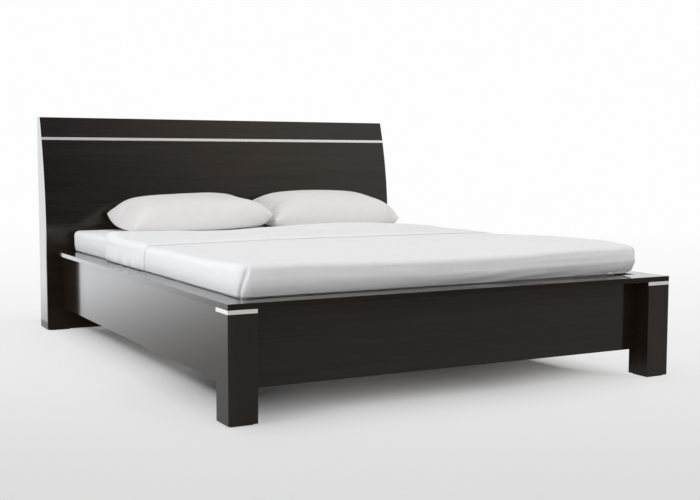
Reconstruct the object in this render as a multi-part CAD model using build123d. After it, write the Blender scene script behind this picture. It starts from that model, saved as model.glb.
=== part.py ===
from build123d import *
import math
import os

os.makedirs("parts", exist_ok=True)

# A low platform bed with a swept-back headboard, its mattress and its bedding.
# Millimetres. X runs across the bed, Y from the foot to the head, Z up from the floor.

# Sizes of the mattress, which the frame goes round
mattress_width = 1606
mattress_length = 1990
mattress_thickness = 188
mattress_crown = 8
mattress_corner = 55
mattress_roll = 34  # rounding of its top edges
mattress_side_gap = 9  # to the side ledges
mattress_foot_gap = 24  # to the foot panel
mattress_head_gap = 50  # to the headboard

# Sizes of the frame
ledge_top = 380
ledge_thickness = 19
side_ledge_width = 78
ledge_overhang = 42  # of a side ledge beyond its rail
leg_side = 99
panel_thickness = 30
side_panel_height = 256
foot_panel_height = 260
edge_round = 1.0

# Sizes of the light inlays
inlay_height = 13
inlay_depth = 4
headboard_inlay_drop = 100.5  # from the top of the headboard to the inlay's centre line

# Sizes of the headboard
headboard_overlap = 35  # beyond the side ledges
headboard_height = 1006
headboard_depth = 143  # at the floor
headboard_lean_depth = 90  # of its face at the top
headboard_straight = 435  # height where the face begins to lean
skin_thickness = 12
gable_thickness = 22
back_thickness = 8
board_thickness = 22
batten_depth = 32
batten_height = 34
inlay_batten_height = 70
post_width = 70
post_depth = 60

# Sizes of the glides
glide_thickness = 5
leg_glide_inset = 12
headboard_glide_length = 90
headboard_glide_inset = 16
headboard_glide_count = 4

# Sizes of the slatted base
cleat_top = 266
cleat_height = 40
cleat_width = 28
beam_width = 60
beam_height = 70
slat_count = 14
slat_width = 53
slat_thickness = 8
slat_bow = 8
slat_margin = 75  # from the ends of the frame to the middle of the first slat
holder_wall = 3
holder_roof = 4.5  # of a holder over the end of its slat
hanger_wall = 3
hanger_reach = 50
hanger_ear = 24

# Sizes of the centre legs and their levelling feet
centre_leg_count = 2
centre_leg_radius = 20
centre_leg_wall = 2
centre_leg_plug = 22
flange_radius = 38
flange_thickness = 4
pad_radius = 24
pad_height = 14
stud_radius = 5
stud_length = 70

# Sizes of the fixings
bracket_height = 90
bracket_arm = 60
bracket_hand = 42
bracket_thickness = 4
bracket_gap = 15  # below the slat cleat
bolt_radius = 4
bolt_length = 45
bolt_head_radius = 8
bolt_head_height = 5
bolt_pitch = 50
bolt_room = 1.5  # beside a bolt's head
insert_radius = 6
insert_length = 22
screw_radius = 2
screw_head_radius = 4
screw_head_height = 2.4
bracket_screw_length = 25
bracket_screw_shares = ((0.45, 0.25), (0.75, 0.5), (0.45, 0.75))  # along and up a bracket's arm
cleat_screw_length = 46
hanger_screw_length = 26
flange_screw_length = 30
back_screw_length = 28
cleat_screw_count = 7
cleat_screw_margin = 120
back_screw_count = 6
back_screw_spread = 0.9  # share of the width between the gables
dowel_radius = 4
dowel_length = 34
dowel_cover = 7  # of ledge left above a dowel
side_dowel_count = 8
side_dowel_margin = 136
foot_dowel_count = 6
foot_dowel_spread = 0.8  # share of the width between the legs
joint_dowel_radius = 5
joint_dowel_length = 60
joint_dowel_count = 4
joint_dowel_margin = 45

# Sizes of the bedding
fitted_sheet_thickness = 1.2
top_sheet_thickness = 5
turn_down_thickness = 14
fold_drop = 503  # from the head of the mattress to the top sheet's fold
turn_down_width = 530
pillow_length = 705
pillow_depth = 436
pillow_crown = 100  # above its seam
pillow_belly = 75  # below its seam
pillow_draw = 11  # of its sides, between the corners
pillow_edge = 5
pillow_flat = 0.45  # share of its depth that lies flat
pillow_shoulder = 0.72  # share of the belly's depth reached halfway out
pillow_taper = (3, 0.62)  # powers that shape its fullness from the middle to the ends
pillow_gap = 7  # between the pair
pillow_offset = 18  # of the pair, to the right
pillow_head_gap = 45
pillow_bearing = 90  # from its middle to where it bears on the crowned sheet

# Clearances
fit = 0.3  # round slats, bolts and studs, and below soft pieces
press = 0.05  # round dowels, inserts and screws
same_place = 0.01  # within which an edge counts as lying at a place

# Places along the bed
frame_length = leg_side + mattress_foot_gap + mattress_length + mattress_head_gap
overall_length = frame_length + headboard_depth
foot_front = -overall_length / 2
foot_rear = foot_front + leg_side
head_face = foot_front + frame_length
head_back = overall_length / 2
foot_panel_front = foot_rear - panel_thickness
foot_panel_middle = foot_rear - panel_thickness / 2

# Places across the bed, on the right hand
ledge_inner = mattress_width / 2 + mattress_side_gap
half_width = ledge_inner + side_ledge_width
leg_inner = half_width - leg_side
panel_outer = half_width - ledge_overhang
panel_inner = panel_outer - panel_thickness
panel_middle = panel_inner + panel_thickness / 2
bolt_place = panel_inner - bracket_thickness - bolt_head_radius - bolt_room
headboard_half = half_width + headboard_overlap
gable_inner = headboard_half - gable_thickness

# Heights
ledge_low = ledge_top - ledge_thickness
side_panel_low = ledge_low - side_panel_height
foot_panel_low = ledge_low - foot_panel_height
cleat_low = cleat_top - cleat_height
beam_low = cleat_top - beam_height
bracket_top = cleat_low - bracket_gap
bracket_low = bracket_top - bracket_height
bolt_heights = [bracket_low + (bracket_height + side * bolt_pitch) / 2 for side in (-1, 1)]
slat_low = cleat_top + holder_wall + fit
slat_crown = slat_low + slat_thickness + slat_bow
holder_top = slat_low + slat_thickness + fit + holder_roof
mattress_low = max(slat_crown, holder_top) + fit
mattress_edge = mattress_low + mattress_thickness

LOW = (Align.MIN, Align.MIN, Align.MIN)
STANDING = (Align.CENTER, Align.CENTER, Align.MIN)
REACH = 4 * overall_length  # longer than anything here


# Plain helpers

def block(x, y, z):
    """A box between pairs of limits."""
    size = (x[1] - x[0], y[1] - y[0], z[1] - z[0])
    return Pos(x[0], y[0], z[0]) * Box(*size, align=LOW)


def across(side, near, far):
    """Limits along X on one side of the bed, from two distances off its middle."""
    return tuple(sorted((side * near, side * far)))


def rod(at, along, radius, length):
    return Plane(origin=at, z_dir=along) * Cylinder(radius, length, align=STANDING)


def spread(first, last, count):
    """Evenly spaced places from the first to the last."""
    if count == 1:
        return [(first + last) / 2]
    return [first + (last - first) * i / (count - 1) for i in range(count)]


def screw(at, along, length, clearance=0):
    """A countersunk screw with its head flush at a point."""
    seat = Plane(origin=at, z_dir=along)
    radius = screw_radius + clearance
    head = Cone(screw_head_radius + clearance, radius, screw_head_height, align=STANDING)
    return seat * head + rod(at, along, radius, length + clearance)


def screw_holes(places, length):
    return [screw(at, along, length, press) for at, along in places]


def cut(piece, tools):
    for tool in tools:
        piece = piece - tool
    return piece


def edges_lying(piece, **places):
    """The edges that lie at given places along the axes."""
    found = piece.edges()
    for axis, place in places.items():
        near = lambda e: abs(getattr(e.bounding_box().min, axis) - place) < same_place
        far = lambda e: abs(getattr(e.bounding_box().max, axis) - place) < same_place
        found = found.filter_by(lambda e: near(e) and far(e))
    return found


def save(name, *pieces):
    solids = [solid for piece in pieces for solid in piece.solids()]
    export_step(solids[0] if len(solids) == 1 else Compound(solids), f"parts/{name}.step")


SIDES = {"left": -1, "right": 1}
ENDS = {"foot": (foot_rear, 1), "head": (head_face, -1)}  # face that a rail meets, and the way into the bed


# Headboard

curve_rise = headboard_height - headboard_straight
curve_radius = (curve_rise**2 + headboard_lean_depth**2) / (2 * headboard_lean_depth)
curve_middle = head_face + curve_radius


def face_place(height, inset):
    """Where the headboard's face, set back by an inset, lies along Y at a height."""
    rise = max(height - headboard_straight, 0)
    return curve_middle - math.sqrt((curve_radius - inset) ** 2 - rise**2)


def headboard_prism(x, inset, back=head_back):
    """The headboard's side outline, set back from its face, extruded between two limits along X."""
    low, turn, top = glide_thickness, headboard_straight, headboard_height
    half_way = (turn + top) / 2
    front = face_place(low, inset)
    outline = Curve() + [
        Line((front, low), (front, turn)),
        ThreePointArc(
            (front, turn),
            (face_place(half_way, inset), half_way),
            (face_place(top, inset), top),
        ),
        Polyline((face_place(top, inset), top), (back, top), (back, low), (front, low)),
    ]
    return extrude(Plane.YZ.offset(x[0]) * make_face(outline), x[1] - x[0])


def headboard_layer(x, near, far, z):
    """What lies between two depths behind the face, within limits of height."""
    layer = headboard_prism(x, near) - headboard_prism(x, far)
    return layer & block(x, (-REACH, REACH), z)


full = (-headboard_half, headboard_half)
between = (-gable_inner, gable_inner)
back_front = head_back - back_thickness
inlay_middle = headboard_height - headboard_inlay_drop
inlay_low = inlay_middle - inlay_height / 2
inlay_high = inlay_low + inlay_height
base_top = glide_thickness + board_thickness
lid_low = headboard_height - board_thickness
post_front = head_face + skin_thickness
batten_top = headboard_straight
batten_low = batten_top - batten_height
bolt_holes = [
    rod((side * bolt_place, head_face, z), (0, 1, 0), insert_radius + press, bolt_length + fit)
    for side in SIDES.values()
    for z in bolt_heights
]
ear_places = [
    (side * (beam_width / 2 + hanger_wall + hanger_ear / 2), z)
    for side in SIDES.values()
    for z in spread(beam_low + hanger_ear / 2, cleat_top - hanger_ear / 2, 2)
]
head_hanger_screws = [((x, head_face - hanger_wall, z), (0, 1, 0)) for x, z in ear_places]
back_screw_reach = gable_inner * back_screw_spread
back_screws = [
    ((x, head_back, z), (0, -1, 0))
    for x in spread(-back_screw_reach, back_screw_reach, back_screw_count)
    for z in (glide_thickness + board_thickness / 2, headboard_height - board_thickness / 2)
]
back_holes = screw_holes(back_screws, back_screw_length)
head_hanger_holes = screw_holes(head_hanger_screws, hanger_screw_length)

lower_skin = headboard_layer(full, 0, skin_thickness, (glide_thickness, inlay_low))
lower_skin = fillet(
    [e for x in full for e in edges_lying(lower_skin, X=x) if e.bounding_box().min.Y < head_face + same_place],
    edge_round,
)
save("headboard_front_lower", cut(lower_skin, bolt_holes + head_hanger_holes))

upper_skin = headboard_layer(full, 0, skin_thickness, (inlay_high, headboard_height))
save(
    "headboard_front_upper",
    fillet(
        edges_lying(upper_skin, Y=face_place(headboard_height, 0), Z=headboard_height),
        edge_round,
    ),
)
save("headboard_inlay", headboard_layer(full, 0, inlay_depth, (inlay_low, inlay_high)))

inlay_batten_low = inlay_middle - inlay_batten_height / 2
inlay_batten_span = (inlay_batten_low, inlay_batten_low + inlay_batten_height)
inlay_batten = headboard_layer(between, skin_thickness, skin_thickness + batten_depth, inlay_batten_span)
inlay_tongue = headboard_layer(full, inlay_depth, skin_thickness, (inlay_low, inlay_high))
save("headboard_inlay_batten", inlay_batten + inlay_tongue)

for name, side in SIDES.items():
    gable = headboard_prism(across(side, gable_inner, headboard_half), skin_thickness)
    save(f"headboard_gable_{name}", gable)

back_panel = block(between, (back_front, head_back), (glide_thickness, headboard_height))
save("headboard_back_panel", cut(back_panel, back_holes))
lid = headboard_prism(between, skin_thickness, back_front)
lid = lid & block(between, (-REACH, REACH), (lid_low, headboard_height))
save("headboard_top_board", cut(lid, back_holes))
base = block(between, (post_front, back_front), (glide_thickness, base_top))
save("headboard_bottom_board", cut(base, back_holes))
save(
    "headboard_middle_batten",
    block(between, (post_front, post_front + batten_depth), (batten_low, batten_top)),
)
for name, middle in {"left": -bolt_place, "centre": 0, "right": bolt_place}.items():
    x = (middle - post_width / 2, middle + post_width / 2)
    post = block(x, (post_front, post_front + post_depth), (base_top, batten_low))
    save(f"headboard_post_{name}", cut(post, bolt_holes + head_hanger_holes))
save("headboard_back_screws", *[screw(at, along, back_screw_length) for at, along in back_screws])

glide_reach = headboard_half - headboard_glide_length / 2 - headboard_glide_inset
save(
    "headboard_glides",
    *[
        block(
            (x - headboard_glide_length / 2, x + headboard_glide_length / 2),
            (head_face + headboard_glide_inset, head_back - headboard_glide_inset),
            (0, glide_thickness),
        )
        for x in spread(-glide_reach, glide_reach, headboard_glide_count)
    ],
)


# Dowels that hold the ledges down and the foot panel to its legs

dowel_low = ledge_top - dowel_cover - dowel_length
side_dowel_places = spread(foot_rear + side_dowel_margin, head_face - side_dowel_margin, side_dowel_count)
foot_dowel_reach = leg_inner * foot_dowel_spread
foot_dowel_places = spread(-foot_dowel_reach, foot_dowel_reach, foot_dowel_count)
leg_middle = half_width - leg_side / 2
ledge_dowel_places = {
    "left": [(-panel_middle, y) for y in side_dowel_places],
    "right": [(panel_middle, y) for y in side_dowel_places],
    "foot": [(x, foot_panel_middle) for x in foot_dowel_places]
    + [(side * leg_middle, foot_front + leg_side / 2) for side in SIDES.values()],
}
# One dowel passes between the two bolts of a leg, and the rest lie above its bracket
joint_dowel_heights = [sum(bolt_heights) / 2] + spread(
    bracket_top + joint_dowel_margin / 2,
    ledge_low - joint_dowel_margin,
    joint_dowel_count - 1,
)


def ledge_dowels(where, clearance=0):
    return [
        rod((x, y, dowel_low - clearance), (0, 0, 1), dowel_radius + clearance, dowel_length + 2 * clearance)
        for x, y in ledge_dowel_places[where]
    ]


def joint_dowels(clearance=0):
    length = joint_dowel_length + 2 * clearance
    return [
        rod(
            (side * leg_inner - length / 2, foot_panel_middle, z),
            (1, 0, 0),
            joint_dowel_radius + clearance,
            length,
        )
        for side in SIDES.values()
        for z in joint_dowel_heights
    ]


ledge_holes = [hole for where in ledge_dowel_places for hole in ledge_dowels(where, press)]
save("ledge_dowels", *[dowel for where in ledge_dowel_places for dowel in ledge_dowels(where)])
save("foot_panel_dowels", *joint_dowels())


# Side rails with their ledges and slat cleats

cleat_screw_places = spread(foot_rear + cleat_screw_margin, head_face - cleat_screw_margin, cleat_screw_count)
cleat_screws = {
    name: [
        ((side * (panel_inner - cleat_width), y, cleat_low + cleat_height / 2), (side, 0, 0))
        for y in cleat_screw_places
    ]
    for name, side in SIDES.items()
}
bracket_screws = {
    (end, name): [
        (
            (
                side * (panel_inner - bracket_thickness),
                face + way * along * bracket_arm,
                bracket_low + up * bracket_height,
            ),
            (side, 0, 0),
        )
        for along, up in bracket_screw_shares
    ]
    for end, (face, way) in ENDS.items()
    for name, side in SIDES.items()
}

for name, side in SIDES.items():
    rail = block(
        across(side, panel_inner, panel_outer), (foot_rear, head_face), (side_panel_low, ledge_low)
    )
    rail = fillet(edges_lying(rail, X=side * panel_outer, Z=side_panel_low), edge_round)
    holes = ledge_dowels(name, press) + screw_holes(cleat_screws[name], cleat_screw_length)
    for end in ENDS:
        holes += screw_holes(bracket_screws[end, name], bracket_screw_length)
    save(f"side_panel_{name}", cut(rail, holes))

    ledge = block(across(side, ledge_inner, half_width), (foot_rear, head_face), (ledge_low, ledge_top))
    outer_edges = [
        e
        for x, z in ((half_width, ledge_low), (half_width, ledge_top), (ledge_inner, ledge_top))
        for e in edges_lying(ledge, X=side * x, Z=z)
    ]
    save(f"side_ledge_{name}", cut(fillet(outer_edges, edge_round), ledge_dowels(name, press)))

    cleat = block(
        across(side, panel_inner - cleat_width, panel_inner), (foot_rear, head_face), (cleat_low, cleat_top)
    )
    save(f"slat_cleat_{name}", cut(cleat, screw_holes(cleat_screws[name], cleat_screw_length)))

save(
    "cleat_screws",
    *[screw(at, along, cleat_screw_length) for places in cleat_screws.values() for at, along in places],
)


# Foot end: legs with their inlays and glides, panel and ledge

foot_hanger_screws = [((x, foot_rear + hanger_wall, z), (0, -1, 0)) for x, z in ear_places]
leg_bolt_holes = [
    rod((side * bolt_place, foot_rear, z), (0, -1, 0), insert_radius + press, bolt_length + fit)
    for side in SIDES.values()
    for z in bolt_heights
]
glides = []
for name, side in SIDES.items():
    blank = block(
        across(side, leg_inner, half_width), (foot_front, foot_rear), (glide_thickness, ledge_low)
    )
    corners = [
        e
        for x, y in ((half_width, foot_front), (leg_inner, foot_front), (half_width, foot_rear))
        for e in edges_lying(blank, X=side * x, Y=y)
    ]
    blank = fillet(corners, edge_round)
    core = block(
        across(side, leg_inner, half_width - inlay_depth),
        (foot_front + inlay_depth, foot_rear),
        (ledge_low - inlay_height, ledge_low),
    )
    band = block((-REACH, REACH), (-REACH, REACH), (ledge_low - inlay_height, ledge_low))
    inlay = (blank & band) - core
    save(f"foot_inlay_{name}", inlay)
    save(f"foot_leg_{name}", cut(blank - inlay, leg_bolt_holes + joint_dowels(press) + ledge_holes))
    glides.append(
        block(
            across(side, leg_inner + leg_glide_inset, half_width - leg_glide_inset),
            (foot_front + leg_glide_inset, foot_rear - leg_glide_inset),
            (0, glide_thickness),
        )
    )
save("foot_glides", *glides)

foot_panel = block((-leg_inner, leg_inner), (foot_panel_front, foot_rear), (foot_panel_low, ledge_low))
foot_panel = fillet(edges_lying(foot_panel, Y=foot_panel_front, Z=foot_panel_low), edge_round)
foot_holes = ledge_holes + leg_bolt_holes + joint_dowels(press)
foot_holes += screw_holes(foot_hanger_screws, hanger_screw_length)
save("foot_panel", cut(foot_panel, foot_holes))

foot_ledge = block((-half_width, half_width), (foot_front, foot_rear), (ledge_low, ledge_top))
foot_ledge_edges = [e for z in (ledge_low, ledge_top) for e in edges_lying(foot_ledge, Y=foot_front, Z=z)]
foot_ledge_edges += [
    e for x in (-half_width, half_width) for e in edges_lying(foot_ledge, X=x, Z=ledge_top)
]
save("foot_ledge", cut(fillet(foot_ledge_edges, edge_round), ledge_dowels("foot", press)))


# Corner brackets that join the rails to the legs and to the headboard

bolts = []
inserts = []
for end, (face, way) in ENDS.items():
    for name, side in SIDES.items():
        height = (bracket_low, bracket_top)
        arm = block(
            across(side, panel_inner - bracket_thickness, panel_inner),
            sorted((face, face + way * bracket_arm)),
            height,
        )
        hand = block(
            across(side, panel_inner - bracket_hand, panel_inner),
            sorted((face, face + way * bracket_thickness)),
            height,
        )
        holes = screw_holes(bracket_screws[end, name], bracket_screw_length)
        for z in bolt_heights:
            seat = (side * bolt_place, face + way * bracket_thickness, z)
            mouth = (side * bolt_place, face, z)
            inward = (0, -way, 0)
            holes.append(rod(seat, inward, bolt_radius + fit, bracket_thickness))
            shank = rod(seat, inward, bolt_radius, bolt_length)
            bolts.append(shank + rod(seat, (0, way, 0), bolt_head_radius, bolt_head_height))
            sleeve = rod(mouth, inward, insert_radius, insert_length)
            inserts.append(sleeve - rod(mouth, inward, bolt_radius + press, insert_length))
        save(f"rail_bracket_{end}_{name}", cut(arm + hand, holes))
save("bracket_bolts", *bolts)
save("threaded_inserts", *inserts)
save(
    "bracket_screws",
    *[screw(at, along, bracket_screw_length) for places in bracket_screws.values() for at, along in places],
)


# Centre beam in its hangers, on two legs with levelling feet

beam_foot = foot_rear + hanger_wall
beam_head = head_face - hanger_wall
leg_places = [
    beam_foot + (beam_head - beam_foot) * (i + 1) / (centre_leg_count + 1) for i in range(centre_leg_count)
]
flange_screw_reach = (centre_leg_radius + flange_radius) / 2
flange_screws = [
    ((0, y + way * flange_screw_reach, beam_low - flange_thickness), (0, 0, 1))
    for y in leg_places
    for way in (-1, 1)
]
beam = block((-beam_width / 2, beam_width / 2), (beam_foot, beam_head), (beam_low, cleat_top))
save("centre_beam", cut(beam, screw_holes(flange_screws, flange_screw_length)))

for end, (face, way) in ENDS.items():
    cup_half = beam_width / 2 + hanger_wall
    cup = block(
        (-cup_half, cup_half), sorted((face, face + way * hanger_reach)), (beam_low - hanger_wall, cleat_top)
    )
    cup = cup - block(
        (-beam_width / 2, beam_width / 2),
        sorted((face + way * hanger_wall, face + way * 2 * hanger_reach)),
        (beam_low, cleat_top),
    )
    ears = block(
        (-cup_half - hanger_ear, cup_half + hanger_ear),
        sorted((face, face + way * hanger_wall)),
        (beam_low - hanger_wall, cleat_top),
    )
    places = foot_hanger_screws if end == "foot" else head_hanger_screws
    save(f"beam_hanger_{end}", cut(cup + ears, screw_holes(places, hanger_screw_length)))
save(
    "hanger_screws",
    *[screw(at, along, hanger_screw_length) for at, along in foot_hanger_screws + head_hanger_screws],
)

bore = centre_leg_radius - centre_leg_wall
plug_top = pad_height + centre_leg_plug
for i, y in enumerate(leg_places):
    tube = rod((0, y, pad_height), (0, 0, 1), centre_leg_radius, beam_low - pad_height)
    tube = tube - rod((0, y, plug_top), (0, 0, 1), bore, beam_low - flange_thickness - plug_top)
    tube = tube - rod((0, y, pad_height), (0, 0, 1), stud_radius + fit, centre_leg_plug)
    flange = rod((0, y, beam_low - flange_thickness), (0, 0, 1), flange_radius, flange_thickness)
    save(f"centre_leg_{i + 1}", cut(tube + flange, screw_holes(flange_screws, flange_screw_length)))
    pad = rod((0, y, 0), (0, 0, 1), pad_radius, pad_height)
    pad = fillet(edges_lying(pad, Z=pad_height), pad_height / 4)
    save(f"levelling_foot_{i + 1}", pad + rod((0, y, 0), (0, 0, 1), stud_radius, stud_length))
save("flange_screws", *[screw(at, along, flange_screw_length) for at, along in flange_screws])


# Sprung slats in two columns, with their end holders

slat_places = spread(foot_rear + slat_margin, head_face - slat_margin, slat_count)
slat_ends = (holder_wall / 2 + fit, panel_inner - holder_wall - fit)


def slat(side, clearance=0):
    """A bowed slat of one column at the middle of the bed, as wide as its clearance asks."""
    inner, outer = slat_ends[0] - clearance, slat_ends[1] + clearance
    middle = (inner + outer) / 2
    low, high = slat_low - clearance, slat_low + slat_thickness + clearance
    outline = Curve() + [
        ThreePointArc((inner, low), (middle, low + slat_bow), (outer, low)),
        Line((outer, low), (outer, high)),
        ThreePointArc((outer, high), (middle, high + slat_bow), (inner, high)),
        Line((inner, high), (inner, low)),
    ]
    width = slat_width + 2 * clearance
    piece = extrude(Plane.XZ.offset(-width / 2) * make_face(outline), width)
    return piece if side > 0 else mirror(piece, Plane.YZ)


def holder(x):
    """A moulded holder at the middle of the bed, with pockets for the slats that it takes."""
    half = slat_width / 2 + holder_wall + fit
    body = block(x, (-half, half), (cleat_top, holder_top))
    return cut(body, [slat(side, fit) for side in SIDES.values()])


for name, side in SIDES.items():
    one_slat = slat(side)
    end_holder = holder(across(side, panel_inner - cleat_width, panel_inner))
    save(f"slats_{name}", *[Pos(0, y, 0) * one_slat for y in slat_places])
    save(f"slat_holders_{name}", *[Pos(0, y, 0) * end_holder for y in slat_places])
centre_holder = holder((-beam_width / 2, beam_width / 2))
save("slat_holders_centre", *[Pos(0, y, 0) * centre_holder for y in slat_places])


# Mattress, fitted sheet and top sheet

mattress_foot = foot_rear + mattress_foot_gap
mattress_head = mattress_foot + mattress_length
fold = mattress_head - fold_drop
hem = fold - turn_down_width


def soft_block(around, over):
    """The mattress's crowned and rounded form, grown at its sides and at its top."""
    half = mattress_width / 2 + around
    edge = mattress_edge + over
    outline = Curve() + [
        ThreePointArc((-half, edge), (0, edge + mattress_crown), (half, edge)),
        Polyline((half, edge), (half, mattress_low), (-half, mattress_low), (-half, edge)),
    ]
    length = mattress_length + 2 * around
    form = Pos(0, mattress_foot - around, 0) * extrude(Plane.XZ * make_face(outline), -length)
    form = fillet(form.edges().filter_by(Axis.Z), mattress_corner + around)
    rim = form.edges().filter_by(lambda e: e.bounding_box().min.Z > edge - fit)
    return fillet(rim, mattress_roll + over)


def up_to(place):
    return block((-REACH, REACH), (-REACH, place), (-REACH, REACH))


mattress = soft_block(0, 0)
covered = soft_block(fitted_sheet_thickness, fitted_sheet_thickness)
once = fitted_sheet_thickness + top_sheet_thickness
twice = fitted_sheet_thickness + turn_down_thickness
single = soft_block(once, once) & up_to(hem)
double = (soft_block(once, twice) & up_to(fold)) - up_to(hem)
save("mattress", mattress)
save("fitted_sheet", covered - mattress)
save("top_sheet", (single + double) - covered)


# Pillows

sheet_half = mattress_width / 2 + fitted_sheet_thickness
sheet_radius = (sheet_half**2 + mattress_crown**2) / (2 * mattress_crown)
pillow_rear = head_face - pillow_head_gap
pillow_middle = pillow_rear - pillow_depth / 2
pillow_stations = (-1, -0.93, -0.72, -0.4, 0, 0.4, 0.72, 0.93, 1)


def pillow_section(station):
    """A slice across the pillow: a crowned top over a belly with a flat underside."""
    fullness = (1 - abs(station) ** pillow_taper[0]) ** pillow_taper[1]
    half = pillow_depth / 2 - pillow_draw * (1 - station**2)
    crown = pillow_edge + (pillow_crown - pillow_edge) * fullness
    belly = pillow_edge + (pillow_belly - pillow_edge) * fullness
    flat = half * pillow_flat
    shoulder = ((half + flat) / 2, -belly * pillow_shoulder)
    outline = Curve() + [
        ThreePointArc((-half, 0), (0, crown), (half, 0)),
        ThreePointArc((half, 0), shoulder, (flat, -belly)),
        Line((flat, -belly), (-flat, -belly)),
        ThreePointArc((-flat, -belly), (-shoulder[0], shoulder[1]), (-half, 0)),
    ]
    return Plane.YZ.offset(station * pillow_length / 2) * make_face(outline)


def pillow():
    form = loft([pillow_section(station) for station in pillow_stations])
    end_radius = ((pillow_depth / 2) ** 2 + pillow_draw**2) / (2 * pillow_draw)
    for side in SIDES.values():
        centre = side * (pillow_length / 2 - pillow_draw + end_radius)
        form = form - rod((centre, 0, -pillow_belly), (0, 0, 1), end_radius, pillow_belly + pillow_crown)
    return form


def sheet_height(x):
    """Height of the fitted sheet at a place across its crown."""
    drop = sheet_radius - math.sqrt(sheet_radius**2 - x**2)
    return mattress_edge + fitted_sheet_thickness + mattress_crown - drop


for name, side in SIDES.items():
    middle = pillow_offset + side * (pillow_length + pillow_gap) / 2
    seam_height = sheet_height(abs(middle) - pillow_bearing) + fit + pillow_belly
    save(f"pillow_{name}", Pos(middle, pillow_middle, seam_height) * pillow())
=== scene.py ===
"""Looks of the sleigh bed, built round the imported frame: finishes, bedding, studio light and camera."""

import math

import bpy
import numpy as np
from mathutils import Matrix, Vector


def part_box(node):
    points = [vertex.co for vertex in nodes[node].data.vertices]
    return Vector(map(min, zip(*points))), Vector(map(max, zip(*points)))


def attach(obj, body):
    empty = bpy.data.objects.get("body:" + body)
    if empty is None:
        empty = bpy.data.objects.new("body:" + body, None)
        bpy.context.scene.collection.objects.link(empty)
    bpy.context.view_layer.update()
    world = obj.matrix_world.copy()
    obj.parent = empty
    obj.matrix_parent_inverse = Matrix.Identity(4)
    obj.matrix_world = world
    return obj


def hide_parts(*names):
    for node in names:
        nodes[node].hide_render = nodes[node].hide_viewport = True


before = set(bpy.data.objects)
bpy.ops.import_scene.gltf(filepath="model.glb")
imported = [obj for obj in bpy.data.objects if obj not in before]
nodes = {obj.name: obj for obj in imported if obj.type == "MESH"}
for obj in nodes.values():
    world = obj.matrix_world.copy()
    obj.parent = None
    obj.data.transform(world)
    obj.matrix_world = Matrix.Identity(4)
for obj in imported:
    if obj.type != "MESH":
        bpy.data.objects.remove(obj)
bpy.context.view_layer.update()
scene = bpy.context.scene


# Small helpers

NOISE_TABLE = 256
NOISE_GAIN = 1.6   # brings the noise to about -1 to 1


def smooth_step(low, high, value):
    share = np.clip((np.asarray(value, float) - low) / (high - low), 0, 1)
    return share * share * (3 - 2 * share)


def hump(value, middle, spread):
    return np.exp(-(((np.asarray(value, float) - middle) / spread) ** 2))


def perlin(points, seed):
    """Gradient noise from about -1 to 1 at each point, the same for the same seed."""
    rng = np.random.default_rng(seed)
    order = rng.permutation(NOISE_TABLE)
    slopes = rng.normal(size=(NOISE_TABLE, 3))
    slopes /= np.linalg.norm(slopes, axis=1)[:, None]
    points = np.asarray(points, float)
    cell = np.floor(points).astype(int)
    inside = points - cell
    ease = inside ** 3 * (inside * (inside * 6 - 15) + 10)
    total = np.zeros(len(points))
    for corner in np.ndindex(2, 2, 2):
        pick = np.zeros(len(points), int)
        for at in (cell + corner).T:
            pick = order[(pick + at) % NOISE_TABLE]
        share = np.prod(np.where(np.array(corner) == 1, ease, 1 - ease), axis=1)
        total += share * ((inside - corner) * slopes[pick]).sum(1)
    return NOISE_GAIN * total


def crease(points, depth, scale, seed):
    """Relief from noise: how deep, how many waves a metre along each axis, and which draw."""
    return depth * perlin(points * scale, seed)


def spaced(*stops):
    """Positions along a line: (start, step, end, step, end, ...), each run split into even steps."""
    line = [stops[0]]
    for step, end in zip(stops[1::2], stops[2::2]):
        count = max(1, round(abs(end - line[-1]) / step))
        line.extend(np.linspace(line[-1], end, count + 1)[1:])
    return np.array(line)


def fine_at_ends(low, high, band, fine, coarse):
    return spaced(low, fine, low + band, coarse, high - band, fine, high)


def new_object(name, points, faces, finish=None):
    mesh = bpy.data.meshes.new(name)
    mesh.from_pydata([tuple(p) for p in points], [], [tuple(f) for f in faces])
    thing = bpy.data.objects.new(name, mesh)
    scene.collection.objects.link(thing)
    if finish:
        mesh.materials.append(finish)
    return thing


def shade_smooth(piece):
    piece.data.polygons.foreach_set("use_smooth", [True] * len(piece.data.polygons))
    piece.data.update()


def soft_piece(name, points, faces, finish, body, replaced):
    """A smooth piece that rides on a body and stands for one CAD node."""
    piece = new_object(name, points, faces, finish)
    piece.data.validate()
    shade_smooth(piece)
    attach(piece, body)
    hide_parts(replaced)
    return piece


def apply_modifiers(piece):
    bpy.context.view_layer.update()
    graph = bpy.context.evaluated_depsgraph_get()
    mesh = bpy.data.meshes.new_from_object(piece.evaluated_get(graph), depsgraph=graph)
    piece.modifiers.clear()
    piece.data = mesh


# Node materials

SOCKET_NAMES = {"Coat Ior": "Coat IOR", "Specular Level": "Specular IOR Level"}


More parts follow.
